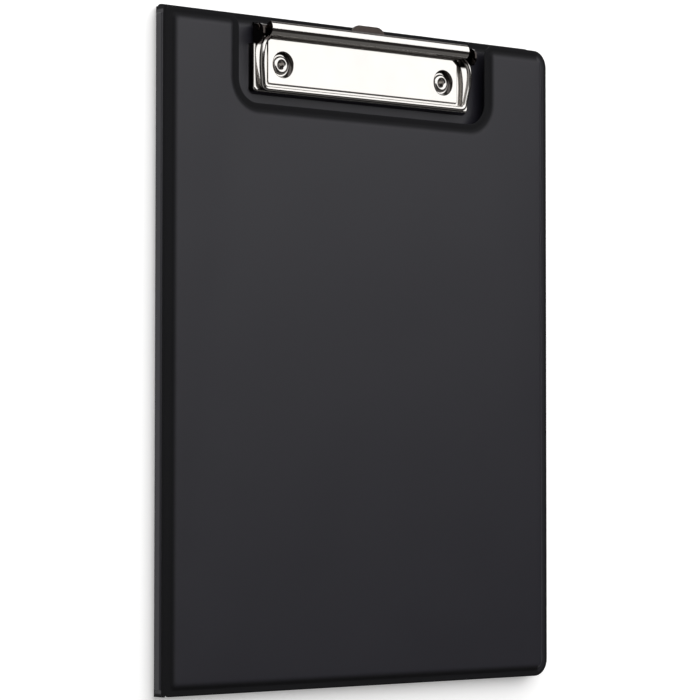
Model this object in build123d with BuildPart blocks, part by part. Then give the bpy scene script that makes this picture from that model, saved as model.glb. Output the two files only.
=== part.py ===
from build123d import *
import os
from math import atan, cos, degrees, pi, radians, sin, sqrt

# Fold over clipboard for A5 paper, closed and lying on its back. Sizes are in millimetres.
# The origin is the middle of the back cover's outer face. +Y points to the clip, +X to the
# free edge, +Z up through the front cover. The spine is at the -X side.

# Overall sizes
folder_width = 178.4
back_height = 235.0
cover_set_down = 1.2
closed_depth = 7.4

# Board and PVC film
film = 0.3
back_board_gauge = 1.6
cover_board_gauge = 1.6
spine_board_gauge = 1.0
spine_board_width = 2.2
weld_gauge = 0.5
weld_width = 2.2
slope_width = 1.4
spine_slope = 0.3
board_gap = 0.1
free_corner_radius = 6.1
hinge_corner_radius = 1.5
least_radius = 0.4

# Welded hinges between the leaves
hinge_bend = 0.7
hinge_margin = 2.0

# Notch in the front cover, round the clip
notch_left_gap = 8.5
notch_right_gap = 6.4
notch_floor_gap = 4.6
notch_floor_radius = 8.2
notch_mouth_radius = 4.6

# Pocket inside the front cover
pocket_film = 0.2
pocket_height = 150.0
pocket_margin = 3.0
thumb_cut_radius = 11.0

# Base plate of the clip
clip_centre_x = 1.6
plate_gauge = 0.8
plate_width = 100.0
plate_length = 23.3
plate_rise = 2.1
plate_corner_radius = 1.2
plate_bend_radius = 0.8
clip_to_top_edge = 3.5
skirt_flare = 1.0
platform_width = 89.0
platform_length = 17.0
platform_rise = 0.5
platform_margin = 2.6
platform_slope = 0.4
platform_corner_radius = 1.0
platform_bend_radius = 0.3

# Ears that carry the pivot pin
ear_length = 6.2
ear_height = 5.0
ear_radius = 2.6
pin_radius = 0.9
pin_above_plate = 1.85
pin_to_plate_end = 1.4
pin_head_radius = 1.35
pin_head = 0.35
peened_fit = 0.03
ear_relief = 0.5

# Rivets through the plate and the back cover
rivet_to_platform_end = 7.0
rivet_to_platform_low = 7.3
dimple_radius = 4.6
dimple_floor_radius = 3.8
dimple_bend_radius = 0.35
rivet_shank_radius = 1.75
rivet_bore_radius = 1.25
rivet_rim_radius = 3.3
rivet_rim_height = 0.95
rivet_head_radius = 4.5
rivet_head = 0.7
rivet_head_sink = 0.05
rivet_fit = 0.05
dish_gap = 0.3

# Jaw of spring clip: rolled lever and wire
lever_to_ear = 3.2
lever_gauge = 0.7
barrel_radius = 3.1
barrel_forward = 0.8
barrel_above_pin = 0.75
barrel_front_angle = 215.0
barrel_top_angle = 97.0
lip_length = 1.3
lip_bead_radius = 0.6
cheek_lobe_radius = 1.5
running_fit = 0.05
wire_radius = 1.0
grip_gap = 0.15
eye_forward = 1.7
eye_above_pin = 1.75
wire_end_inside = 0.6
wire_shoulder_out = 1.6
wire_elbow_out = 2.2
wire_bar_out = 0.2
wire_elbow_forward = 7.1
wire_elbow_above_pin = 0.95
wire_bar_forward = 21.0
wire_shoulder_radius = 1.5
wire_elbow_radius = 8.0
wire_corner_radius = 3.6

# Return springs on the pin
spring_wire_radius = 0.27
spring_radius = 1.4
spring_pitch = 1.0
spring_whole_turns = 4
spring_foot_angle = 270.0
spring_arm_angle = 202.5
spring_foot = 1.3
spring_arm_gap = 0.15
spring_from_centre = 22.0

# Retractable hanging hook
hook_off_centre = 3.0
hook_width = 16.0
hook_gauge = 0.8
hook_float = 0.15
hook_showing = 0.8
hook_stop_width = 24.0
hook_stop_length = 2.5
hook_eye_width = 10.0
hook_eye_height = 3.6
hook_eye_border = 2.4
hook_corner_radius = 4.0
hook_window_gap = 0.5
hook_stop_gap = 0.3
hook_travel = 14.0

# Places that follow from the sizes
back_leaf = back_board_gauge + 2 * film
cover_leaf = cover_board_gauge + 2 * film
spine_leaf = spine_board_gauge + 2 * film
free_edge_x = folder_width / 2
hinge_x = spine_leaf / 2 - folder_width / 2
lower_hinge_z = back_leaf / 2
upper_hinge_z = closed_depth - cover_leaf / 2
leaf_start_x = hinge_x + hinge_bend
leaf_raise_x = leaf_start_x + hinge_margin
bottom_y = -back_height / 2
back_top_y = back_height / 2
cover_top_y = back_top_y - cover_set_down

plate_top_z = back_leaf + plate_rise
plate_end_y = back_top_y - clip_to_top_edge
plate_mid_y = plate_end_y - plate_length / 2
plate_low_y = plate_end_y - plate_length
plate_left_x = clip_centre_x - plate_width / 2
plate_right_x = clip_centre_x + plate_width / 2
notch_left_x = plate_left_x - notch_left_gap
notch_right_x = plate_right_x + notch_right_gap
notch_floor_y = plate_low_y - notch_floor_gap
platform_mid_y = plate_low_y + platform_margin + platform_length / 2
platform_top_z = plate_top_z + platform_rise
pin_y = plate_end_y - pin_to_plate_end
pin_z = plate_top_z + pin_above_plate
rivet_pitch = platform_width - 2 * rivet_to_platform_end
dimple_floor_z = back_leaf + plate_gauge
rivet_y = plate_low_y + platform_margin + rivet_to_platform_low
rivet_spots = [(clip_centre_x + side * rivet_pitch / 2, rivet_y) for side in (-1, 1)]


def slab_plan(left, right, low, high, radius):
    """Rectangle between four edges, with all corners rounded."""
    with BuildSketch() as plan:
        with Locations(((left + right) / 2, (low + high) / 2)):
            RectangleRounded(right - left, high - low, radius)
    return plan.sketch


def leaf_plan(hinge_side, low, high, inset, notched=False):
    """Outline of a cover, drawn in by the inset on its free sides, with the notch if it has one."""
    with BuildSketch() as plan:
        with Locations(((hinge_side + free_edge_x - inset) / 2, (low + high) / 2)):
            Rectangle(free_edge_x - inset - hinge_side, high - low - 2 * inset)
        free_corners = plan.vertices().group_by(Axis.X)[-1]
        fillet(free_corners, radius=max(free_corner_radius - inset, least_radius))
        hinge_corners = plan.vertices().group_by(Axis.X)[0]
        fillet(hinge_corners, radius=hinge_corner_radius)
        if notched:
            left = notch_left_x - inset
            right = notch_right_x + inset
            with Locations(((left + right) / 2, notch_floor_y - inset)):
                Rectangle(
                    right - left,
                    high - notch_floor_y,
                    align=(Align.CENTER, Align.MIN),
                    mode=Mode.SUBTRACT,
                )
            near_notch = plan.vertices().filter_by_position(Axis.X, left - film, right + film)
            floor_corners = near_notch.group_by(Axis.Y)[0]
            mouth_corners = near_notch.group_by(Axis.Y)[-1]
            fillet(floor_corners, radius=notch_floor_radius + inset)
            fillet(mouth_corners, radius=max(notch_mouth_radius - inset, least_radius))
    return plan.sketch


def pressed_film(middle, flange, field, hollow, half_leaf, slope):
    """One film of a leaf: a flat flange on the middle plane, and a field raised over half of the board."""
    flange_gauge = weld_gauge / 2
    rise = half_leaf - flange_gauge
    draft = degrees(atan(slope / rise))
    with BuildPart() as pressed:
        with BuildSketch(middle):
            add(flange)
        extrude(amount=flange_gauge)
        with BuildSketch(middle.offset(flange_gauge)):
            add(field)
        extrude(amount=rise, taper=draft)
        with BuildSketch(middle):
            add(hollow)
        extrude(amount=half_leaf - film, taper=draft, mode=Mode.SUBTRACT)
    return pressed.part


def board_inset(half_leaf, slope):
    """How far the board's edge stays inside the edge of the raised field."""
    return film + (half_leaf - film) * slope / (half_leaf - weld_gauge / 2) + board_gap


# Outlines of the films and boards of the three leaves
back_inset = weld_width + board_inset(back_leaf / 2, slope_width)
cover_inset = weld_width + board_inset(cover_leaf / 2, slope_width)
spine_start = hinge_bend
spine_end = upper_hinge_z - lower_hinge_z - hinge_bend
spine_mid = (spine_start + spine_end) / 2
spine_board_low = spine_mid - spine_board_width / 2
spine_board_high = spine_mid + spine_board_width / 2
spine_inset = board_inset(spine_leaf / 2, spine_slope)

back_flange = leaf_plan(leaf_start_x, bottom_y, back_top_y, 0)
back_field = leaf_plan(leaf_raise_x, bottom_y, back_top_y, weld_width)
back_hollow = leaf_plan(leaf_raise_x + film, bottom_y, back_top_y, weld_width + film)
back_board_plan = leaf_plan(leaf_raise_x + back_inset - weld_width, bottom_y, back_top_y, back_inset)

cover_flange = leaf_plan(leaf_start_x, bottom_y, cover_top_y, 0, notched=True)
cover_field = leaf_plan(leaf_raise_x, bottom_y, cover_top_y, weld_width, notched=True)
cover_hollow = leaf_plan(leaf_raise_x + film, bottom_y, cover_top_y, weld_width + film, notched=True)
cover_board_plan = leaf_plan(
    leaf_raise_x + cover_inset - weld_width, bottom_y, cover_top_y, cover_inset, notched=True
)

spine_flange = slab_plan(spine_start, spine_end, bottom_y, cover_top_y, least_radius)
spine_field = slab_plan(
    spine_board_low - spine_inset,
    spine_board_high + spine_inset,
    bottom_y + weld_width,
    cover_top_y - weld_width,
    least_radius,
)
spine_hollow = slab_plan(
    spine_board_low - spine_inset + film,
    spine_board_high + spine_inset - film,
    bottom_y + weld_width + film,
    cover_top_y - weld_width - film,
    least_radius / 2,
)
back_middle = Plane.XY.offset(lower_hinge_z)
cover_middle = Plane.XY.offset(upper_hinge_z)
spine_middle = Plane(origin=(hinge_x, 0, lower_hinge_z), x_dir=(0, 0, 1), z_dir=(-1, 0, 0))

# Back cover: two films over a board, with a dish behind each rivet so that the back lies flat
dish_radius = rivet_head_radius + dish_gap
dish_depth = rivet_head_sink + rivet_head
shank_hole_radius = rivet_shank_radius + rivet_fit

with BuildPart() as back_inner_skin:
    add(pressed_film(back_middle, back_flange, back_field, back_hollow, back_leaf / 2, slope_width))
    with BuildSketch(back_middle):
        with Locations(*rivet_spots):
            Circle(shank_hole_radius)
    extrude(amount=back_leaf, mode=Mode.SUBTRACT)

with BuildPart() as back_outer_skin:
    plain_film = pressed_film(back_middle, back_flange, back_field, back_hollow, back_leaf / 2, slope_width)
    mirror(plain_film, about=back_middle)
    with BuildSketch(Plane.XY):
        with Locations(*rivet_spots):
            Circle(dish_radius + film)
    extrude(amount=dish_depth + film)
    with BuildSketch(Plane.XY):
        with Locations(*rivet_spots):
            Circle(dish_radius)
    extrude(amount=dish_depth, mode=Mode.SUBTRACT)
    with BuildSketch(Plane.XY):
        with Locations(*rivet_spots):
            Circle(shank_hole_radius)
    extrude(amount=back_leaf, mode=Mode.SUBTRACT)

with BuildPart() as back_board:
    with BuildSketch(back_middle):
        add(back_board_plan)
    extrude(amount=back_board_gauge / 2, both=True)
    with BuildSketch(Plane.XY.offset(film)):
        with Locations(*rivet_spots):
            Circle(dish_radius + film + rivet_fit)
    extrude(amount=dish_depth, mode=Mode.SUBTRACT)
    with BuildSketch(Plane.XY.offset(film)):
        with Locations(*rivet_spots):
            Circle(shank_hole_radius)
    extrude(amount=back_board_gauge, mode=Mode.SUBTRACT)

# Front cover: the same build, with the notch cut clear round the clip
with BuildPart() as cover_outer_skin:
    add(pressed_film(cover_middle, cover_flange, cover_field, cover_hollow, cover_leaf / 2, slope_width))

with BuildPart() as cover_inner_skin:
    mirror(cover_outer_skin.part, about=cover_middle)

with BuildPart() as cover_board:
    with BuildSketch(cover_middle):
        add(cover_board_plan)
    extrude(amount=cover_board_gauge / 2, both=True)

# Pocket: a thin sheet welded round three sides to the inside of the front cover, with a thumb cut
with BuildPart() as cover_pocket:
    pocket_left = leaf_raise_x + slope_width + pocket_margin
    pocket_right = free_edge_x - weld_width - slope_width - pocket_margin
    pocket_low = bottom_y + weld_width + slope_width + pocket_margin
    with BuildSketch(Plane.XY.offset(closed_depth - cover_leaf - pocket_film)):
        add(slab_plan(pocket_left, pocket_right, pocket_low, pocket_low + pocket_height, least_radius))
        with Locations(((pocket_left + pocket_right) / 2, pocket_low + pocket_height)):
            Circle(thumb_cut_radius, mode=Mode.SUBTRACT)
    extrude(amount=pocket_film)

# Spine: a narrow strip between the two hinges, upright when the folder is closed
with BuildPart() as spine_outer_skin:
    add(pressed_film(spine_middle, spine_flange, spine_field, spine_hollow, spine_leaf / 2, spine_slope))

with BuildPart() as spine_inner_skin:
    mirror(spine_outer_skin.part, about=spine_middle)

with BuildPart() as spine_board:
    with BuildSketch(spine_middle):
        add(
            slab_plan(
                spine_board_low,
                spine_board_high,
                bottom_y + weld_width + spine_inset,
                cover_top_y - weld_width - spine_inset,
                least_radius,
            )
        )
    extrude(amount=spine_board_gauge / 2, both=True)


def hinge_web(centre_z, start_angle):
    """Strip of welded film that bends a quarter turn round a hinge line."""
    with BuildPart() as web:
        with BuildSketch(Plane.XZ.offset(-cover_top_y)):
            with BuildLine():
                CenterArc((leaf_start_x, centre_z), hinge_bend + weld_gauge / 2, start_angle, 90)
                CenterArc((leaf_start_x, centre_z), hinge_bend - weld_gauge / 2, start_angle, 90)
                for angle in (start_angle, start_angle + 90):
                    across = Vector(1, 0).rotate(Axis.Z, angle)
                    centre = Vector(leaf_start_x, centre_z)
                    inner_end = centre + across * (hinge_bend - weld_gauge / 2)
                    Line(inner_end, centre + across * (hinge_bend + weld_gauge / 2))
            make_face()
        extrude(amount=cover_top_y - bottom_y)
    return web.part


with BuildPart() as back_hinge_web:
    add(hinge_web(lower_hinge_z + hinge_bend, 180))

with BuildPart() as cover_hinge_web:
    add(hinge_web(upper_hinge_z - hinge_bend, 90))

# Base plate of the clip: pressed sheet with a raised platform, flared skirts, rivet dimples and ears
skirt_draft = degrees(atan(skirt_flare / plate_rise))
skirt_wall = plate_gauge / cos(radians(skirt_draft))
platform_draft = degrees(atan(platform_slope / platform_rise))
window_height = 2 * hook_float + hook_gauge
ear_low_y = plate_end_y - ear_length
dimple_depth = platform_top_z - dimple_floor_z

with BuildPart() as clip_base:
    with BuildSketch(Plane.XY.offset(back_leaf)):
        with Locations((clip_centre_x, plate_mid_y)):
            RectangleRounded(
                plate_width + 2 * skirt_flare,
                plate_length + 2 * skirt_flare,
                plate_corner_radius + skirt_flare,
            )
    extrude(amount=plate_rise, taper=skirt_draft)
    plate_face = clip_base.faces().sort_by(Axis.Z)[-1]
    fillet(plate_face.outer_wire().edges(), radius=plate_bend_radius)
    with BuildSketch(Plane.XY.offset(plate_top_z)):
        with Locations((clip_centre_x, platform_mid_y)):
            RectangleRounded(platform_width, platform_length, platform_corner_radius)
    extrude(amount=platform_rise, taper=platform_draft)
    platform_face = clip_base.faces().sort_by(Axis.Z)[-1]
    fillet(platform_face.outer_wire().edges(), radius=platform_bend_radius)
    with BuildSketch(Plane.XY.offset(back_leaf)):
        with Locations((clip_centre_x, plate_mid_y)):
            RectangleRounded(
                plate_width + 2 * skirt_flare - 2 * skirt_wall,
                plate_length + 2 * skirt_flare - 2 * skirt_wall,
                plate_corner_radius + skirt_flare - skirt_wall / 2,
            )
    extrude(amount=plate_rise - plate_gauge, taper=skirt_draft, mode=Mode.SUBTRACT)
    with BuildSketch(Plane.XY.offset(plate_top_z - plate_gauge)):
        with Locations((clip_centre_x, platform_mid_y)):
            RectangleRounded(
                platform_width - 2 * platform_slope,
                platform_length - 2 * platform_slope,
                platform_corner_radius,
            )
    extrude(amount=platform_rise, taper=platform_draft, mode=Mode.SUBTRACT)
    with Locations(*[(x, y, back_leaf) for x, y in rivet_spots]):
        Cone(
            dimple_floor_radius + plate_gauge / 2,
            dimple_radius + plate_gauge,
            platform_top_z - back_leaf,
            align=(Align.CENTER, Align.CENTER, Align.MIN),
        )
    with Locations(*[(x, y, dimple_floor_z) for x, y in rivet_spots]):
        Cone(
            dimple_floor_radius,
            dimple_radius,
            dimple_depth,
            align=(Align.CENTER, Align.CENTER, Align.MIN),
            mode=Mode.SUBTRACT,
        )
    dimple_rims = clip_base.edges().filter_by(GeomType.CIRCLE).filter_by_position(
        Axis.Z, platform_top_z, platform_top_z
    )
    fillet([rim for rim in dimple_rims if rim.radius > dimple_floor_radius], radius=dimple_bend_radius)
    with BuildSketch(Plane.XY.offset(back_leaf)):
        with Locations(*rivet_spots):
            Circle(shank_hole_radius)
    extrude(amount=plate_gauge, mode=Mode.SUBTRACT)
    with BuildSketch(Plane.XY.offset(back_leaf)):
        with Locations((clip_centre_x + hook_off_centre, plate_end_y)):
            Rectangle(hook_width + 2 * hook_window_gap, 2 * (skirt_wall + skirt_flare))
    extrude(amount=window_height, mode=Mode.SUBTRACT)
    for side in (-1, 1):
        ear_outer_x = clip_centre_x + side * plate_width / 2
        notch_mid_x = ear_outer_x + side * (skirt_flare - plate_gauge) / 2
        notch_low_y = ear_low_y - ear_relief
        with BuildSketch(Plane.XY.offset(back_leaf)):
            with Locations((notch_mid_x, notch_low_y)):
                Rectangle(
                    plate_gauge + skirt_flare,
                    plate_end_y + skirt_flare - notch_low_y,
                    align=(Align.CENTER, Align.MIN),
                )
        extrude(amount=plate_rise, mode=Mode.SUBTRACT)
        with BuildSketch(Plane.YZ.offset(ear_outer_x)) as ear_profile:
            with Locations((ear_low_y, plate_top_z - plate_gauge)):
                Rectangle(ear_length, plate_gauge + ear_height, align=(Align.MIN, Align.MIN))
            fillet(ear_profile.vertices().group_by(Axis.Y)[-1], radius=ear_radius)
            with Locations((pin_y, pin_z)):
                Circle(pin_radius + peened_fit, mode=Mode.SUBTRACT)
        extrude(amount=-side * plate_gauge)

# Tubular rivets: a flat head in the dish at the back, and a rolled rim in the dimple at the front
head_low_z = rivet_head_sink
head_high_z = rivet_head_sink + rivet_head
rim_edge_z = dimple_floor_z + rivet_rim_height / 4
rim_inner_z = dimple_floor_z + rivet_rim_height / 2
rim_top_z = dimple_floor_z + rivet_rim_height

with BuildPart() as clip_rivets:
    for rivet_x, rivet_spot_y in rivet_spots:
        with BuildSketch(Plane(origin=(rivet_x, rivet_spot_y, 0), x_dir=(1, 0, 0), z_dir=(0, -1, 0))):
            with BuildLine():
                Polyline(
                    (rivet_bore_radius, rim_inner_z),
                    (rivet_bore_radius, head_high_z),
                    (0, head_high_z),
                    (0, head_low_z),
                    (rivet_head_radius, head_low_z),
                    (rivet_head_radius, head_high_z),
                    (rivet_shank_radius, head_high_z),
                    (rivet_shank_radius, dimple_floor_z),
                    (rivet_rim_radius, dimple_floor_z),
                    (rivet_rim_radius, rim_edge_z),
                )
                ThreePointArc(
                    (rivet_rim_radius, rim_edge_z),
                    ((rivet_rim_radius + rivet_bore_radius) / 2, rim_top_z),
                    (rivet_bore_radius, rim_inner_z),
                )
            make_face()
        revolve(axis=Axis((rivet_x, rivet_spot_y, 0), (0, 0, 1)))

# Pivot pin through both ears, with a peened head outside each
with BuildPart() as pivot_pin:
    with BuildSketch(Plane.YZ.offset(plate_left_x)):
        with Locations((pin_y, pin_z)):
            Circle(pin_radius)
    extrude(amount=plate_width)
    for side in (-1, 1):
        with BuildSketch(Plane.YZ.offset(clip_centre_x + side * plate_width / 2)):
            with Locations((pin_y, pin_z)):
                Circle(pin_head_radius)
        extrude(amount=side * pin_head)
    head_rims = pivot_pin.edges().filter_by(GeomType.CIRCLE).sort_by(Axis.X)
    fillet([head_rims[0], head_rims[-1]], radius=pin_head * 0.8)

# Lever: a sheet rolled round the pin, with a beaded lip to press on and a cheek at each end
lever_length = plate_width - 2 * (plate_gauge + lever_to_ear)
barrel_y = pin_y - barrel_forward
barrel_z = pin_z + barrel_above_pin
barrel_middle_radius = barrel_radius - lever_gauge / 2
barrel_span = barrel_front_angle - barrel_top_angle
lip_turn = radians(barrel_top_angle)
lip_start = Vector(barrel_y, barrel_z) + Vector(cos(lip_turn), sin(lip_turn)) * barrel_middle_radius
lip_end = lip_start + Vector(sin(lip_turn), -cos(lip_turn)) * lip_length
eye_y = pin_y - eye_forward
eye_z = pin_z + eye_above_pin

with BuildPart() as jaw_lever:
    with BuildSketch(Plane.YZ.offset(clip_centre_x - lever_length / 2)):
        with BuildLine():
            CenterArc((barrel_y, barrel_z), barrel_middle_radius, barrel_top_angle, barrel_span)
            Line(lip_start, lip_end)
        trace(line_width=lever_gauge)
        with Locations(lip_end):
            Circle(lip_bead_radius)
    extrude(amount=lever_length)
    for side in (-1, 1):
        with BuildSketch(Plane.YZ.offset(clip_centre_x + side * lever_length / 2)):
            with BuildLine():
                CenterArc((barrel_y, barrel_z), barrel_radius, barrel_top_angle, barrel_span)
                CenterArc((pin_y, pin_z), cheek_lobe_radius, 0, 360)
            make_hull()
            with Locations((pin_y, pin_z)):
                Circle(pin_radius + running_fit, mode=Mode.SUBTRACT)
            with Locations((eye_y, eye_z)):
                Circle(wire_radius + running_fit, mode=Mode.SUBTRACT)
        extrude(amount=-side * lever_gauge)

# Wire jaw: a round wire bent into a wide U, held at its ends in the eyes of the lever's cheeks
bar_y = pin_y - wire_bar_forward
bar_z = plate_top_z + wire_radius + grip_gap
wire_end_x = lever_length / 2 - lever_gauge - wire_end_inside
shoulder_x = lever_length / 2 + wire_shoulder_out
elbow_x = lever_length / 2 + wire_elbow_out
bar_corner_x = lever_length / 2 + wire_bar_out
half_route = [
    (wire_end_x, eye_y, eye_z),
    (shoulder_x, eye_y, eye_z),
    (elbow_x, pin_y - wire_elbow_forward, pin_z + wire_elbow_above_pin),
    (bar_corner_x, bar_y, bar_z),
]
left_route = [(clip_centre_x - x, y, z) for x, y, z in half_route]
right_route = [(clip_centre_x + x, y, z) for x, y, z in reversed(half_route)]
bends = [wire_shoulder_radius, wire_elbow_radius, wire_corner_radius]

with BuildPart() as jaw_wire:
    with BuildLine():
        wire_route = FilletPolyline(*left_route, *right_route, radius=bends + bends[::-1])
    with BuildSketch(Plane(origin=left_route[0], z_dir=(-1, 0, 0))):
        Circle(wire_radius)
    sweep(path=wire_route)


def coil_point(angle, start_angle, start_x):
    """Place on a spring's centre line, and the way the wire runs there, as the angle falls."""
    turn = radians(angle)
    place_x = start_x + spring_pitch * (start_angle - angle) / 360
    place = Vector(place_x, pin_y + spring_radius * cos(turn), pin_z + spring_radius * sin(turn))
    way = Vector(spring_pitch / (2 * pi), spring_radius * sin(turn), -spring_radius * cos(turn))
    return place, way.normalized()


def tangent_pair(start, start_way, end, end_way):
    """Two arcs that leave the start and reach the end in the given directions."""
    chord = end - start
    spread = 2 * (1 - start_way.dot(end_way))
    lean = chord.dot(start_way + end_way)
    reach = (sqrt(lean**2 + spread * chord.dot(chord)) - lean) / spread
    joint = (start + end + (start_way - end_way) * reach) / 2
    joint_way = (end - end_way * reach - start - start_way * reach).normalized()
    TangentArc(start, joint, tangent=start_way)
    TangentArc(joint, end, tangent=joint_way)


def reach_inside(point, way, centre, radius):
    """How far a line runs from a point inside a circle until it meets the circle, in the YZ plane."""
    offset_y = point.Y - centre[0]
    offset_z = point.Z - centre[1]
    along = offset_y * way.Y + offset_z * way.Z
    across = way.Y**2 + way.Z**2
    beyond = offset_y**2 + offset_z**2 - radius**2
    return (sqrt(along**2 - across * beyond) - along) / across


# Return springs: open wound torsion springs round the pin, from the plate to the inside of the lever
spring_first_angle = spring_arm_angle + 360 * spring_whole_turns + (spring_foot_angle - spring_arm_angle)
spring_sweep = spring_first_angle - spring_arm_angle
spring_steps = round(spring_sweep / 67.5)
spring_angles = [spring_first_angle - spring_sweep * step / spring_steps for step in range(spring_steps + 1)]
spring_start_x = clip_centre_x - spring_from_centre
coil = [coil_point(angle, spring_first_angle, spring_start_x) for angle in spring_angles]
arm_circle = barrel_radius - lever_gauge - spring_wire_radius - spring_arm_gap
arm_start, arm_way = coil[-1]
arm_length = reach_inside(arm_start, arm_way, (barrel_y, barrel_z), arm_circle)

with BuildPart() as left_spring:
    with BuildLine() as spring_route:
        Line(coil[0][0] - coil[0][1] * spring_foot, coil[0][0])
        for (place, way), (next_place, next_way) in zip(coil, coil[1:]):
            tangent_pair(place, way, next_place, next_way)
        Line(arm_start, arm_start + arm_way * arm_length)
    with BuildSketch(Plane(origin=spring_route.line @ 0, z_dir=spring_route.line % 0)):
        Circle(spring_wire_radius)
    sweep(path=spring_route.line)

with BuildPart() as return_springs:
    add(left_spring.part)
    mirror(left_spring.part, about=Plane.YZ.offset(clip_centre_x))
print("gap between spring turns", round(spring_pitch - 2 * spring_wire_radius, 3))

# Hanging hook: a flat strip that slides out from under the plate, with a wide stop at its inner end
hook_centre_x = clip_centre_x + hook_off_centre
hook_top_y = back_top_y + hook_showing
stop_face_y = plate_end_y - plate_gauge - hook_stop_gap - hook_travel
hook_low_z = back_leaf + hook_float

with BuildPart() as hanging_hook:
    with BuildSketch(Plane.XY.offset(hook_low_z)) as hook_outline:
        with Locations((hook_centre_x, stop_face_y)):
            Rectangle(hook_width, hook_top_y - stop_face_y, align=(Align.CENTER, Align.MIN))
        fillet(hook_outline.vertices().group_by(Axis.Y)[-1], radius=hook_corner_radius)
        with Locations((hook_centre_x, stop_face_y)):
            Rectangle(hook_stop_width, hook_stop_length, align=(Align.CENTER, Align.MAX))
        with Locations((hook_centre_x, hook_top_y - hook_eye_border - hook_eye_height / 2)):
            SlotOverall(hook_eye_width, hook_eye_height, mode=Mode.SUBTRACT)
    extrude(amount=hook_gauge)

# Every piece is labelled with its name and written to a file of its own
os.makedirs("parts", exist_ok=True)
pieces = {
    "back_inner_skin": back_inner_skin,
    "back_outer_skin": back_outer_skin,
    "back_board": back_board,
    "cover_outer_skin": cover_outer_skin,
    "cover_inner_skin": cover_inner_skin,
    "cover_board": cover_board,
    "cover_pocket": cover_pocket,
    "spine_outer_skin": spine_outer_skin,
    "spine_inner_skin": spine_inner_skin,
    "spine_board": spine_board,
    "back_hinge_web": back_hinge_web,
    "cover_hinge_web": cover_hinge_web,
    "clip_base": clip_base,
    "clip_rivets": clip_rivets,
    "pivot_pin": pivot_pin,
    "jaw_lever": jaw_lever,
    "jaw_wire": jaw_wire,
    "return_springs": return_springs,
    "hanging_hook": hanging_hook,
}
for name, piece in pieces.items():
    piece.part.label = name
    export_step(piece.part, f"parts/{name}.step")
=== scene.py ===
from math import cos, pi, radians, sin

import bmesh
import bpy
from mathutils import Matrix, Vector
from mathutils.geometry import tessellate_polygon


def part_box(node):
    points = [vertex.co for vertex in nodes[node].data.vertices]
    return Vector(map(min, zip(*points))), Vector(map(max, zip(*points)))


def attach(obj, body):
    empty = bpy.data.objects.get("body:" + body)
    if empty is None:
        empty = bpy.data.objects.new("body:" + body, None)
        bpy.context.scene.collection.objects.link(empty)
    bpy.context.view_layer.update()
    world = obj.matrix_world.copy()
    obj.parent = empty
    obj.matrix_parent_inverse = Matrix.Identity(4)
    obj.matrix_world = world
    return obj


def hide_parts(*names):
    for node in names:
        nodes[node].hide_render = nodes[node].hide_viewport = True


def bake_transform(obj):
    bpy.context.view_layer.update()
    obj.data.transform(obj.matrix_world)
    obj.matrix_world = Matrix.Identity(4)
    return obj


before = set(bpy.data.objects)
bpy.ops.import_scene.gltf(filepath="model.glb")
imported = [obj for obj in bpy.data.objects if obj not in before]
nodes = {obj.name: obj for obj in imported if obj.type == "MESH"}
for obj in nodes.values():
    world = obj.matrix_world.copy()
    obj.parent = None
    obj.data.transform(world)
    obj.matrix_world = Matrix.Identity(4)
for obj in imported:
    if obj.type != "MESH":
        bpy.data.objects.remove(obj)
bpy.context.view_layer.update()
mm = 0.001

# Camera: a long lens, to the left of the folder and above it, as the folder lies on its back. The
# lens was worked out from the outline and from the rivet rings, which are true circles.
camera_data = bpy.data.cameras.new("camera")
camera_data.lens = 154.29
camera_data.sensor_width = 36
camera_data.clip_end = 20
camera = bpy.data.objects.new("camera", camera_data)
camera.location = (-0.68906, -0.04223, 0.82169)
camera.rotation_euler = (radians(2.316), radians(-39.93), radians(0.058))
bpy.context.collection.objects.link(camera)
bpy.context.scene.camera = camera
bpy.context.scene.view_settings.view_transform = "Standard"


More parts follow.
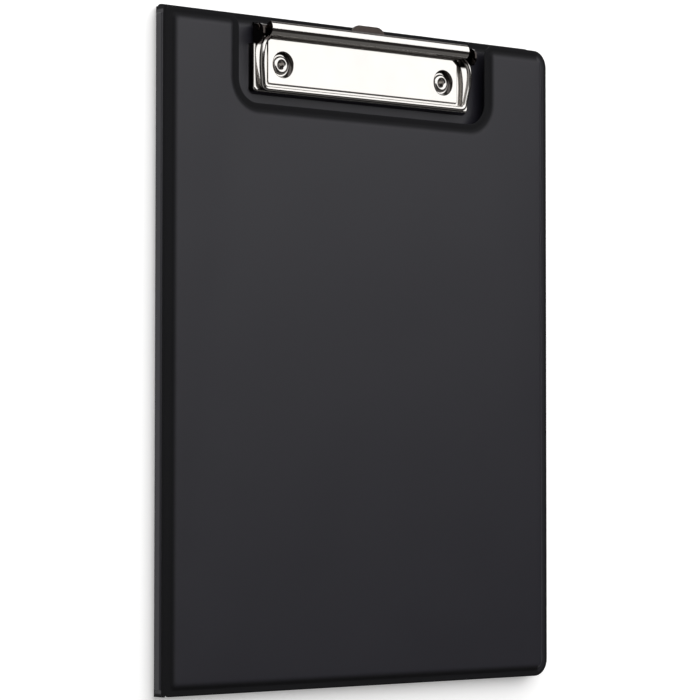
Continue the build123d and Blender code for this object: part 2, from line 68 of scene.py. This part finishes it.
class Shade:
    """A socket of a node tree. Sums on it add Math nodes, and node() adds a node of any other type."""

    def __init__(self, tree, socket=None):
        self.tree = tree
        self.socket = socket

    def node(self, kind, settings, inputs, output=0):
        made = self.tree.nodes.new(kind)
        for name, value in settings.items():
            setattr(made, name, value)
        for name, value in inputs.items():
            if isinstance(value, Shade):
                self.tree.links.new(value.socket, made.inputs[name])
            else:
                made.inputs[name].default_value = value
        return Shade(self.tree, made.outputs[output])

    def maths(self, operation, first, second=0):
        return self.node("ShaderNodeMath", {"operation": operation}, {0: first, 1: second})

    def __add__(self, other):
        return self.maths("ADD", self, other)

    def __radd__(self, other):
        return self.maths("ADD", other, self)

    def __sub__(self, other):
        return self.maths("SUBTRACT", self, other)

    def __rsub__(self, other):
        return self.maths("SUBTRACT", other, self)

    def __mul__(self, other):
        return self.maths("MULTIPLY", self, other)

    def place(self):
        """Where the shaded point lies on the piece, in metres."""
        return self.node("ShaderNodeTexCoord", {}, {}, "Object")

    def part(self, axis):
        """The X, Y or Z part of a vector."""
        return self.node("ShaderNodeSeparateXYZ", {}, {"Vector": self}, axis)

    def step(self, low, high):
        """Rises smoothly from 0 to 1 as the value goes from low to high."""
        settings = {"interpolation_type": "SMOOTHSTEP"}
        limits = {"Value": self, "From Min": low, "From Max": high}
        return self.node("ShaderNodeMapRange", settings, limits)

    def band(self, start, full, fall, end):
        """1 from full to fall, and 0 below the start and above the end."""
        return self.step(start, full) * (1 - self.step(fall, end))

    def tint(self, plain, other):
        """Goes from one colour or coloured socket to the other as the value goes from 0 to 1."""
        ends = [end if isinstance(end, Shade) else (*end, 1) for end in (plain, other)]
        inputs = {"Factor": self, 6: ends[0], 7: ends[1]}
        return self.node("ShaderNodeMix", {"data_type": "RGBA"}, inputs, 2)

    def noise(self, size, detail=2.0, stretch=(1, 1, 1)):
        """Noise from 0 to 1 over the piece, with spots of the given size in metres."""
        scale = [part / size for part in stretch]
        spread = self.node("ShaderNodeVectorMath", {"operation": "MULTIPLY"}, {0: self.place(), 1: scale})
        return self.node("ShaderNodeTexNoise", {}, {"Vector": spread, "Scale": 1.0, "Detail": detail})

    def relief(self):
        """Surface normal for a height in metres."""
        return self.node("ShaderNodeBump", {}, {"Height": self, "Distance": 1.0})


def finish(name, make):
    """A material whose sockets come from the given function, as names and values or links."""
    material = bpy.data.materials.new(name)
    material.use_nodes = True
    tree = material.node_tree
    shader = tree.nodes["Principled BSDF"]
    for socket, value in make(Shade(tree)).items():
        if isinstance(value, Shade):
            tree.links.new(value.socket, shader.inputs[socket])
        else:
            shader.inputs[socket].default_value = value
    return material


def mesh_piece(name, shape, material, crease=35):
    """Turns a finished bmesh into an object, smooth except over edges sharper than the crease."""
    bmesh.ops.recalc_face_normals(shape, faces=shape.faces)
    data = bpy.data.meshes.new(name)
    shape.to_mesh(data)
    shape.free()
    data.polygons.foreach_set("use_smooth", [True] * len(data.polygons))
    data.set_sharp_from_angle(angle=radians(crease))
    data.materials.append(material)
    piece = bpy.data.objects.new(name, data)
    bpy.context.collection.objects.link(piece)
    return piece


# Studio: a white table top that carries on past the picture, in a dark room with a grey wall at the
# foot of the table and a dim window on the left. One large softbox leans over it from behind.
def table_paint(shade):
    """Matt white, with a little glow that only the camera and reflections see."""
    rays = ("Is Camera Ray", "Is Glossy Ray", "Is Transmission Ray")
    seen = sum(shade.node("ShaderNodeLightPath", {}, {}, ray) for ray in rays)
    return {
        "Base Color": shade.noise(0.3).tint((0.94, 0.94, 0.94), (0.96, 0.96, 0.96)),
        "Roughness": 0.75,
        "Emission Color": seen.tint((0, 0, 0), (0.32, 0.32, 0.32)),
        "Emission Strength": 1.0,
    }


half_table = 4
table = bmesh.new()
bmesh.ops.create_grid(table, x_segments=8, y_segments=8, size=half_table)
mesh_piece("table_top", table, finish("table_paint", table_paint))

world = bpy.data.worlds.new("dark_room")
bpy.context.scene.world = world
world.use_nodes = True
room = Shade(world.node_tree)
look = room.node("ShaderNodeTexCoord", {}, {}, "Generated")
upward = look.part("Z")
footward = 0 - look.part("Y")
leftward = 0 - look.part("X")
grey_wall = footward.step(0.35, 0.45) * (1 - upward.step(0.55, 0.62))
window = leftward.step(0.2, 0.45) * (1 - upward.step(0.7, 0.85))
walls = (grey_wall * 0.4 + window).tint((0.035, 0.033, 0.032), (0.42, 0.41, 0.40))
backdrop = room.node("ShaderNodeLightPath", {}, {}, "Is Camera Ray").tint(walls, (1, 1, 1))
world.node_tree.links.new(backdrop.socket, world.node_tree.nodes["Background"].inputs["Color"])

softbox_data = bpy.data.lights.new("softbox", "AREA")
softbox_data.shape = "RECTANGLE"
softbox_data.size = 3.7
softbox_data.size_y = 2.85
softbox_data.energy = 72
softbox = bpy.data.objects.new("softbox", softbox_data)
softbox.location = (0.45, 1.3, 1.44)
softbox.rotation_euler = (radians(-39.8), 0, 0)
softbox.visible_camera = False
bpy.context.collection.objects.link(softbox)


# Back cover: two sheets of black PVC film, welded to each other in a flat border all round and
# pressed over a greyboard between them. Two dishes in the outer film take the rivet heads.
leaf_start = -0.0877
free_edge = 0.0892
bottom_edge = -0.1175
back_top = 0.1175
back_middle = 0.0011
free_corner = 0.0061
hinge_corner = 0.0015
least_corner = 0.0005
hinge_border_share = 0.91
hinge_border_cut = 0.0002
clip_centre = 0.0016
rivet_reach = 0.0375
rivet_y = 0.1006
rivet_spots = [(clip_centre - rivet_reach, rivet_y), (clip_centre + rivet_reach, rivet_y)]
hole_sides = 48
inside_border = 20
weld_shade_span = (0.0026, 0.0047)
free_side_span = (0.0835, 0.0850)
free_side_cut = 0.0021

# The film's profiles in mm: how far in from the cut edge, or out from a rivet's axis, and how far
# out from the middle of the leaf.
pressed = [
    (0, 0.22), (0.06, 0.25), (0.5, 0.26), (1.2, 0.25), (1.75, 0.2), (2.05, 0.2), (2.35, 0.31),
    (2.65, 0.49), (2.95, 0.68), (3.2, 0.84), (3.45, 0.95), (3.75, 1.03), (4.2, 1.085), (4.8, 1.1),
]
lining = [(3.9, 0.8), (2.5, 0), (0, 0)]
outer_dish = [
    (5.1, 0.8), (5.1, 0.05), (1.8, 0.05), (1.8, 0.35), (4.6, 0.35), (4.75, 0.42), (4.8, 0.95),
    (4.87, 1.06), (5.05, 1.1),
]
rivet_hole = [(1.8, 0.8), (1.8, 1.1)]


def rounded(corners, steps=9):
    """Points round a right-angled outline whose corners are given as x, y and radius."""
    points = []
    for index, (x, y, radius) in enumerate(corners):
        corner = Vector((x, y))
        back = (Vector(corners[index - 1][:2]) - corner).normalized()
        onward = (Vector(corners[(index + 1) % len(corners)][:2]) - corner).normalized()
        centre = corner + (back + onward) * radius
        for step in range(steps + 1):
            turn = pi / 2 * step / steps
            points.append(centre - (onward * cos(turn) + back * sin(turn)) * radius)
    return points


def arc(centre, radius, first, last, steps):
    """Points round a centre from one angle to another, in degrees, with both ends."""
    turns = [radians(first + (last - first) * step / steps) for step in range(steps + 1)]
    return [(centre[0] + radius * cos(turn), centre[1] + radius * sin(turn)) for turn in turns]


def join_rings(shape, rings):
    """Four-sided faces between each ring of points and the next."""
    for near, far in zip(rings, rings[1:]):
        for a, b, c, d in zip(near, near[1:] + near[:1], far[1:] + far[:1], far):
            shape.faces.new((a, b, c, d))


def leaf_sides(inset, top):
    """Left, right, low and high side of a leaf, drawn in by the inset, and less along the hinge."""
    left = leaf_start + max(inset * hinge_border_share, inset - hinge_border_cut)
    return left, free_edge - inset, bottom_edge + inset, top - inset


def drawn_in(radius, inset):
    """Radius of an outward corner that is drawn in by the inset."""
    return max(radius - inset, least_corner)


def back_outline(inset):
    """Edge of the back cover, drawn in by the inset."""
    left, right, low, high = leaf_sides(inset, back_top)
    corner = drawn_in(free_corner, inset)
    return rounded([
        (left, low, hinge_corner), (right, low, corner), (right, high, corner), (left, high, hinge_corner),
    ])


def black_film(shade):
    """Semi-matt calendered film: fine grain, slow waves, and a dull welded border darkened with painted
    shade.
    """
    edge = shade.node("ShaderNodeAttribute", {"attribute_name": "from_cut_edge"}, {}, "Fac")
    cloud = shade.noise(0.03)
    grain = shade.noise(0.00035, 3.0)
    free_side = shade.place().part("X").step(*free_side_span)
    # The welded border's near-black colour and its metallic share, which dims its sheen, are painted
    # shade; the band is narrower along the free side.
    border = 1 - (edge + free_side * free_side_cut).step(*weld_shade_span)
    rubbed = edge.band(0.0029, 0.0036, 0.0038, 0.0050) * shade.noise(0.004).step(0.45, 0.7)
    waves = shade.noise(0.05, 1.0) * 0.00025 + grain * 0.000006
    worn = (cloud * 0.5 + rubbed * 0.5).tint((0.0075, 0.007, 0.012), (0.0115, 0.011, 0.017))
    return {
        "Base Color": border.tint(worn, (0.0035, 0.0035, 0.005)),
        "Metallic": border * 0.55,
        "Roughness": 0.40 + cloud * 0.06 + grain * 0.06 + border * 0.35,
        "Specular IOR Level": 0.46,
        "Normal": waves.relief(),
    }


film = finish("black_film", black_film)


def film_skin(name, outline, stand, pressing, inside, holes=(), border=1.0):
    """One film of a leaf as a closed skin, in rings from its inside face round the cut edge to the
    raised field. The border is the width of its dark, painted-shade border against that of the covers."""
    shape = bmesh.new()
    edge = shape.verts.layers.float.new("from_cut_edge")

    def ring(points, level, inset):
        made = [shape.verts.new(stand(x, y, level * mm)) for x, y in points]
        for vert in made:
            vert[edge] = inset * mm / border
        return made

    rings = [ring(outline(inset * mm), level, inset) for inset, level in inside + pressing]
    join_rings(shape, rings)
    inner_face = [rings[0]]
    outer_face = [rings[-1]]
    for centre, profile in holes:
        hole = []
        for radius, level in profile:
            around = arc(centre, radius * mm, 0, 360, hole_sides)[:-1]
            hole.append(ring(around, level, inside_border))
        join_rings(shape, hole)
        inner_face.append(hole[0])
        outer_face.append(hole[-1])
    for loops in (inner_face, outer_face):
        corners = [vert for loop in loops for vert in loop]
        for a, b, c in tessellate_polygon([[vert.co for vert in loop] for loop in loops]):
            shape.faces.new((corners[a], corners[b], corners[c]))
    return mesh_piece(name, shape, film)


def carry(piece, body, replaced):
    """The piece rides on a body and stands for a node, which it hides."""
    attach(piece, body)
    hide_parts(replaced)


def coat(material, *names):
    """Gives one material to CAD nodes."""
    for name in names:
        nodes[name].data.materials.clear()
        nodes[name].data.materials.append(material)


back_inner_film = film_skin(
    "back_inner_film", back_outline, lambda x, y, h: (x, y, back_middle + h), pressed, lining,
    [(spot, rivet_hole) for spot in rivet_spots],
)
carry(back_inner_film, "back", "back_inner_skin")
back_outer_film = film_skin(
    "back_outer_film", back_outline, lambda x, y, h: (x, y, back_middle - h), pressed, lining,
    [(spot, outer_dish) for spot in rivet_spots],
)
carry(back_outer_film, "back", "back_outer_skin")


def greyboard(shade):
    """Pulp board with fibres that run across it."""
    fibres = shade.noise(0.002, 4.0, (1, 6, 1))
    return {
        "Base Color": fibres.tint((0.30, 0.28, 0.25), (0.42, 0.40, 0.36)),
        "Roughness": 0.9,
        "Normal": (fibres * 0.00003).relief(),
    }


coat(finish("greyboard", greyboard), "back_board", "cover_board", "spine_board")


# Front cover: the same two films over a board, with a notch cut clear round the clip. It is a
# little shorter than the back cover at the top, so that the lever can be reached.
cover_top = 0.1163
cover_middle = 0.0063
notch_left = -0.0569
notch_right = 0.0580
notch_floor = 0.0861
notch_mouth = 0.0046
notch_corner = 0.0082


def cover_outline(inset):
    """Edge of the front cover with its notch, drawn in by the inset."""
    left, right, low, high = leaf_sides(inset, cover_top)
    corner = drawn_in(free_corner, inset)
    mouth = drawn_in(notch_mouth, inset)
    floor = notch_floor - inset
    floor_corner = notch_corner + inset
    return rounded([
        (left, low, hinge_corner), (right, low, corner), (right, high, corner),
        (notch_right + inset, high, mouth), (notch_right + inset, floor, floor_corner),
        (notch_left - inset, floor, floor_corner), (notch_left - inset, high, mouth),
        (left, high, hinge_corner),
    ])


cover_outer_film = film_skin(
    "cover_outer_film", cover_outline, lambda x, y, h: (x, y, cover_middle + h), pressed, lining
)
carry(cover_outer_film, "cover", "cover_outer_skin")
cover_inner_film = film_skin(
    "cover_inner_film", cover_outline, lambda x, y, h: (x, y, cover_middle - h), pressed, lining
)
carry(cover_inner_film, "cover", "cover_inner_skin")


# Pocket: one thinner sheet of black film, welded round three sides to the inside of the front
# cover. The weld tool leaves a narrow sunken line beside each welded edge.
pocket_low, pocket_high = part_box("cover_pocket")


def pocket_film(shade):
    """Smooth film, with the sunken weld line a millimetre in from its two sides and its foot."""
    across = shade.place().part("X")
    along = shade.place().part("Y")
    sides = [across - pocket_low.x, pocket_high.x - across, along - pocket_low.y]
    line = sum(side.band(0.0006, 0.0009, 0.0018, 0.0021) for side in sides)
    cloud = shade.noise(0.04)
    grain = shade.noise(0.0004, 3.0)
    return {
        "Base Color": cloud.tint((0.018, 0.018, 0.021), (0.027, 0.027, 0.031)),
        "Roughness": 0.33 + cloud * 0.1,
        "Normal": (cloud * 0.0003 + grain * 0.000004 - line * 0.00008).relief(),
    }


coat(finish("pocket_film", pocket_film), "cover_pocket")


# Spine: a narrow strip of board between the same two films, upright at the left when the folder is
# closed. The films are welded close along both of its sides.
spine_x = -0.0884
spine_foot = 0.0018
spine_head = 0.0056
spine_corner = 0.0002
side_border_share = 0.058
side_border_cut = 0.00207
spine_border = 0.3
spine_pressed = [
    (0, 0.25), (1.0, 0.25), (2.2, 0.25), (2.26, 0.33), (2.34, 0.5), (2.44, 0.66), (2.55, 0.75),
    (2.7, 0.79), (3.0, 0.8),
]
spine_lining = [(2.85, 0.5), (2.5, 0), (0, 0)]


def spine_outline(inset):
    """Edge of the spine, across it and along it, drawn in by the inset, and far less at its sides."""
    aside = max(inset * side_border_share, inset - side_border_cut)
    low, high = spine_foot + aside, spine_head - aside
    near, far = bottom_edge + inset, cover_top - inset
    corners = [(low, near), (high, near), (high, far), (low, far)]
    return rounded([(z, y, spine_corner) for z, y in corners], 4)


spine_outer_film = film_skin(
    "spine_outer_film", spine_outline, lambda z, y, h: (spine_x - h, y, z), spine_pressed, spine_lining,
    border=spine_border,
)
carry(spine_outer_film, "spine", "spine_outer_skin")
spine_inner_film = film_skin(
    "spine_inner_film", spine_outline, lambda z, y, h: (spine_x + h, y, z), spine_pressed, spine_lining,
    border=spine_border,
)
carry(spine_inner_film, "spine", "spine_inner_skin")


# Hinges: strips where the two films are welded to each other with no board between, so that they
# bend. Each is bent a quarter turn when the folder is closed, and flattens as the cover opens.
bend_radius = 0.0007
half_weld = 0.00025
bend_steps = 10
strip_rows = 60
strip_from_edge = 0.002


def hinge_strip(name, centre_z, first):
    """A strip bent through 90 degrees from the first angle."""
    shape = bmesh.new()
    edge = shape.verts.layers.float.new("from_cut_edge")
    centre = (leaf_start, centre_z)
    section = arc(centre, bend_radius + half_weld, first, first + 90, bend_steps)
    section += arc(centre, bend_radius - half_weld, first + 90, first, bend_steps)
    length = cover_top - bottom_edge
    rows = [bottom_edge + length * step / strip_rows for step in range(strip_rows + 1)]
    rings = [[shape.verts.new((x, y, z)) for x, z in section] for y in rows]
    join_rings(shape, rings)
    for ring in (rings[0], rings[-1]):
        for step in range(bend_steps):
            shape.faces.new((ring[step], ring[step + 1], ring[-step - 2], ring[-step - 1]))
    # The whole strip counts as welded border, so it takes the film's painted shade.
    for vert in shape.verts:
        vert[edge] = strip_from_edge
    strip = mesh_piece(name, shape, film, 60)
    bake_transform(strip)
    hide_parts(name.replace("strip", "web"))


hinge_strip(
    "back_hinge_strip", back_middle + bend_radius, 180,
)
hinge_strip(
    "cover_hinge_strip", cover_middle - bend_radius, 90,
)


# Clip: a base plate pressed from steel sheet and held by two tubular rivets, with a pin through its
# ears and a hook under it. All are nickel plated, and the plate's press leaves faint draw lines.
ear_start = 0.0462
ear_full = 0.0466


def bright_nickel(shade, lines=(1, 1, 1), line_size=0.0012, polish=0.07):
    """Nickel plate: nearly a mirror, a little warm, with faint draw lines and haze."""
    haze = shade.noise(0.009)
    draw = shade.noise(line_size, 3.0, lines)
    return {
        "Base Color": haze.tint((0.50, 0.485, 0.465), (0.46, 0.445, 0.43)),
        "Metallic": 1.0,
        "Roughness": polish + haze * 0.05 + draw * 0.03,
        "Normal": (draw * 0.000003 + haze * 0.00001).relief(),
    }


def with_painted_shade(bright, mask):
    """The bright finish, with painted shade where the mask is 1."""
    return bright | {"Base Color": mask.tint(bright["Base Color"], (0.035, 0.030, 0.028))}


def wire_nickel(shade):
    """Bright round wire, with painted shade at its ends, where they are tucked into the lever's cheeks."""
    wire_end_shade = shade.place().part("Y").step(0.1074, 0.1086)
    return with_painted_shade(bright_nickel(shade, (1, 1, 1), 0.0006, 0.09), wire_end_shade)


def sheet_nickel(shade):
    """Bright over the plate, with painted shade at its ears and on the walls of the rivet dimples."""
    across = shade.place().part("X") - clip_centre
    along = shade.place().part("Y")
    ear_shade = (across * across).step(ear_start**2, ear_full**2) * along.step(0.1066, 0.1074)
    aside = shade.maths("ABSOLUTE", across) - rivet_reach
    ahead = along - rivet_y
    wall = [reach**2 for reach in (0.0036, 0.0039, 0.0045, 0.0048)]
    dimple_shade = (aside * aside + ahead * ahead).band(*wall)
    return with_painted_shade(bright_nickel(shade, (0.05, 1, 1)), ear_shade + dimple_shade * 0.85)


def painted_shade_nickel(shade):
    """Near-black plate, brownish in patches: painted shade and dark reflection on the pieces it is given.
    """
    haze = shade.noise(0.0015)
    return {
        "Base Color": haze.tint((0.02, 0.017, 0.016), (0.05, 0.040, 0.035)),
        "Metallic": 1.0,
        "Roughness": 0.16 + haze * 0.1,
    }


plated_sheet = finish("nickel_sheet", sheet_nickel)
plated_wire = finish("nickel_wire", wire_nickel)
nickel_painted_dark = finish("nickel_painted_dark", painted_shade_nickel)
coat(plated_sheet, "clip_base")
coat(plated_wire, "clip_rivets")
# The pin and the hook take the near-black nickel, which is painted shade and dark reflection.
coat(nickel_painted_dark, "pivot_pin", "hanging_hook")


# Lever: one strip of sheet rolled into an open tube round the pin, with a lip along its back for the
# fingers. A cheek folded in at each end hangs it on the pin, beside a collar. The tube is bright,
# and the cheeks, the collars and the lip are near-black, painted shade and dark reflection.
pin = (0.1126, 0.00615)
tube = (0.11255, 0.00672)
tube_radius = 0.00295
tube_start = 36
tube_end = 215
tube_steps = 48
half_lever = 0.0460
sheet = 0.0006
lobe = 0.0014
lip_start = 0.1144
lever_columns = 40
cheek_inset = 0.00005
cheek_overlap = 2
cheek_proud = 0.00002
collar_length = 0.0022


def stretch_along(shape, section, columns):
    """Closed bar of the given section in Y and Z, with a ring of points at each of the columns."""
    rings = [[shape.verts.new((x, y, z)) for y, z in section] for x in columns]
    join_rings(shape, rings)
    for ring in (rings[0], rings[-1]):
        flat = [Vector((0, vert.co.y, vert.co.z)) for vert in ring]
        for a, b, c in tessellate_polygon([flat]):
            shape.faces.new((ring[a], ring[b], ring[c]))


lever_mesh = bmesh.new()
outer_face = arc(tube, tube_radius, tube_start, tube_end, tube_steps)
inner_face = arc(tube, tube_radius - sheet, tube_start, tube_end, tube_steps)
lever_start = clip_centre - half_lever
columns = [lever_start + 2 * half_lever * step / lever_columns for step in range(lever_columns + 1)]
stretch_along(lever_mesh, outer_face + inner_face[::-1], columns)
cheek_start = tube_start - cheek_overlap
cheek_end = tube_end + cheek_overlap
cheek = arc(tube, tube_radius - cheek_inset, cheek_start, cheek_end, tube_steps)
cheek += arc(pin, lobe, 225, 335, 16)
collar = arc(pin, lobe, 0, 340, 17)
for side in (-1, 1):
    end = clip_centre + side * half_lever
    stretch_along(lever_mesh, cheek, [end + side * cheek_proud, end - side * sheet])
    stretch_along(lever_mesh, collar, [end, end + side * collar_length])
rolled_lever = mesh_piece("rolled_lever", lever_mesh, plated_sheet, 40)
rolled_lever.data.materials.append(nickel_painted_dark)
# Faces turned to the sides, the lip and the ends beyond the tube take the near-black nickel, which is
# painted shade and dark reflection.
for face in rolled_lever.data.polygons:
    at_lip = face.center.y > lip_start
    at_end = abs(face.center.x - clip_centre) > half_lever
    face.material_index = int(abs(face.normal.x) > 0.9 or at_lip or at_end)
carry(rolled_lever, "jaw", "jaw_lever")


# Wire jaw: a round wire bent into a wide U. Its ends are tucked into the lever's tube, and each leg
# bows out a little before it runs down to the bar that grips the paper. The points are in mm.
wire_radius = 0.00095
half_wire = [
    (44.4, 110.7, 6.95), (45.2, 109.7, 6.75), (47.4, 108.2, 6.9), (48.5, 105.4, 7.05), (48.5, 100.5, 6.5),
    (47.6, 95.6, 5.9), (47.0, 91.6, 5.45), (42.5, 91.6, 5.45), (20.0, 91.6, 5.45),
]
wire_points = [(-x, y, z) for x, y, z in half_wire] + half_wire[::-1]
wire_data = bpy.data.curves.new("bent_wire", "CURVE")
wire_data.dimensions = "3D"
wire_data.bevel_depth = wire_radius
wire_data.bevel_resolution = 6
wire_data.resolution_u = 10
wire_data.use_fill_caps = True
wire_line = wire_data.splines.new("NURBS")
wire_line.points.add(len(wire_points) - 1)
for point, (x, y, z) in zip(wire_line.points, wire_points):
    point.co = (clip_centre + x * mm, y * mm, z * mm, 1)
wire_line.order_u = 3
wire_line.use_endpoint_u = True
wire_data.materials.append(plated_wire)
bent_wire = bpy.data.objects.new("bent_wire", wire_data)
bpy.context.collection.objects.link(bent_wire)
carry(bent_wire, "jaw", "jaw_wire")


# Return springs: round wire of spring steel, oil-blued, wound in open turns round the pin. The foot
# of each stays on the plate and its arm goes with the lever, so the coil winds up as the clip opens.
coil_radius = 0.0014
coil_wire = 0.00027
coil_sides = 10
coil_pitch = 0.001
coil_steps = 240
coil_from_centre = 0.022
coil_first = 1710
coil_last = 202.5
foot_length = 0.0013
arm_length = 0.00155


def spring_steel(shade):
    """Blued steel wire, darker in patches."""
    haze = shade.noise(0.002)
    return {
        "Base Color": haze.tint((0.42, 0.40, 0.38), (0.30, 0.29, 0.29)),
        "Metallic": 1.0,
        "Roughness": 0.25 + haze * 0.12,
    }


blued_steel = finish("spring_steel", spring_steel)


def return_spring(name, side):
    """A tube along the coil from its foot on the plate to the end of its arm, on one side of the clip."""
    line = []
    for step in range(coil_steps + 1):
        angle = coil_first + (coil_last - coil_first) * step / coil_steps
        turn = radians(angle)
        along = coil_from_centre - coil_pitch * (coil_first - angle) / 360
        line.append(Vector((-along, pin[0] + coil_radius * cos(turn), pin[1] + coil_radius * sin(turn))))
    first_way = (line[1] - line[0]).normalized()
    last_way = (line[-1] - line[-2]).normalized()
    line = [line[0] - first_way * foot_length] + line + [line[-1] + last_way * arm_length]
    round_wire = arc((0, 0), coil_wire, 0, 360, coil_sides)[:-1]
    shape = bmesh.new()
    rings = []
    for index, spot in enumerate(line):
        way = (line[min(index + 1, len(line) - 1)] - line[max(index - 1, 0)]).normalized()
        across = way.cross(Vector((1, 0, 0))).normalized()
        up = way.cross(across)
        rings.append([shape.verts.new(spot + across * aside + up * above) for aside, above in round_wire])
    join_rings(shape, rings)
    shape.faces.new(rings[0])
    shape.faces.new(rings[-1])
    for vert in shape.verts:
        vert.co.x = clip_centre - side * vert.co.x
    spring = mesh_piece(name, shape, blued_steel)
    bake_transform(spring)
    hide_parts("return_springs")


return_spring("left_spring", -1)
return_spring("right_spring", 1)
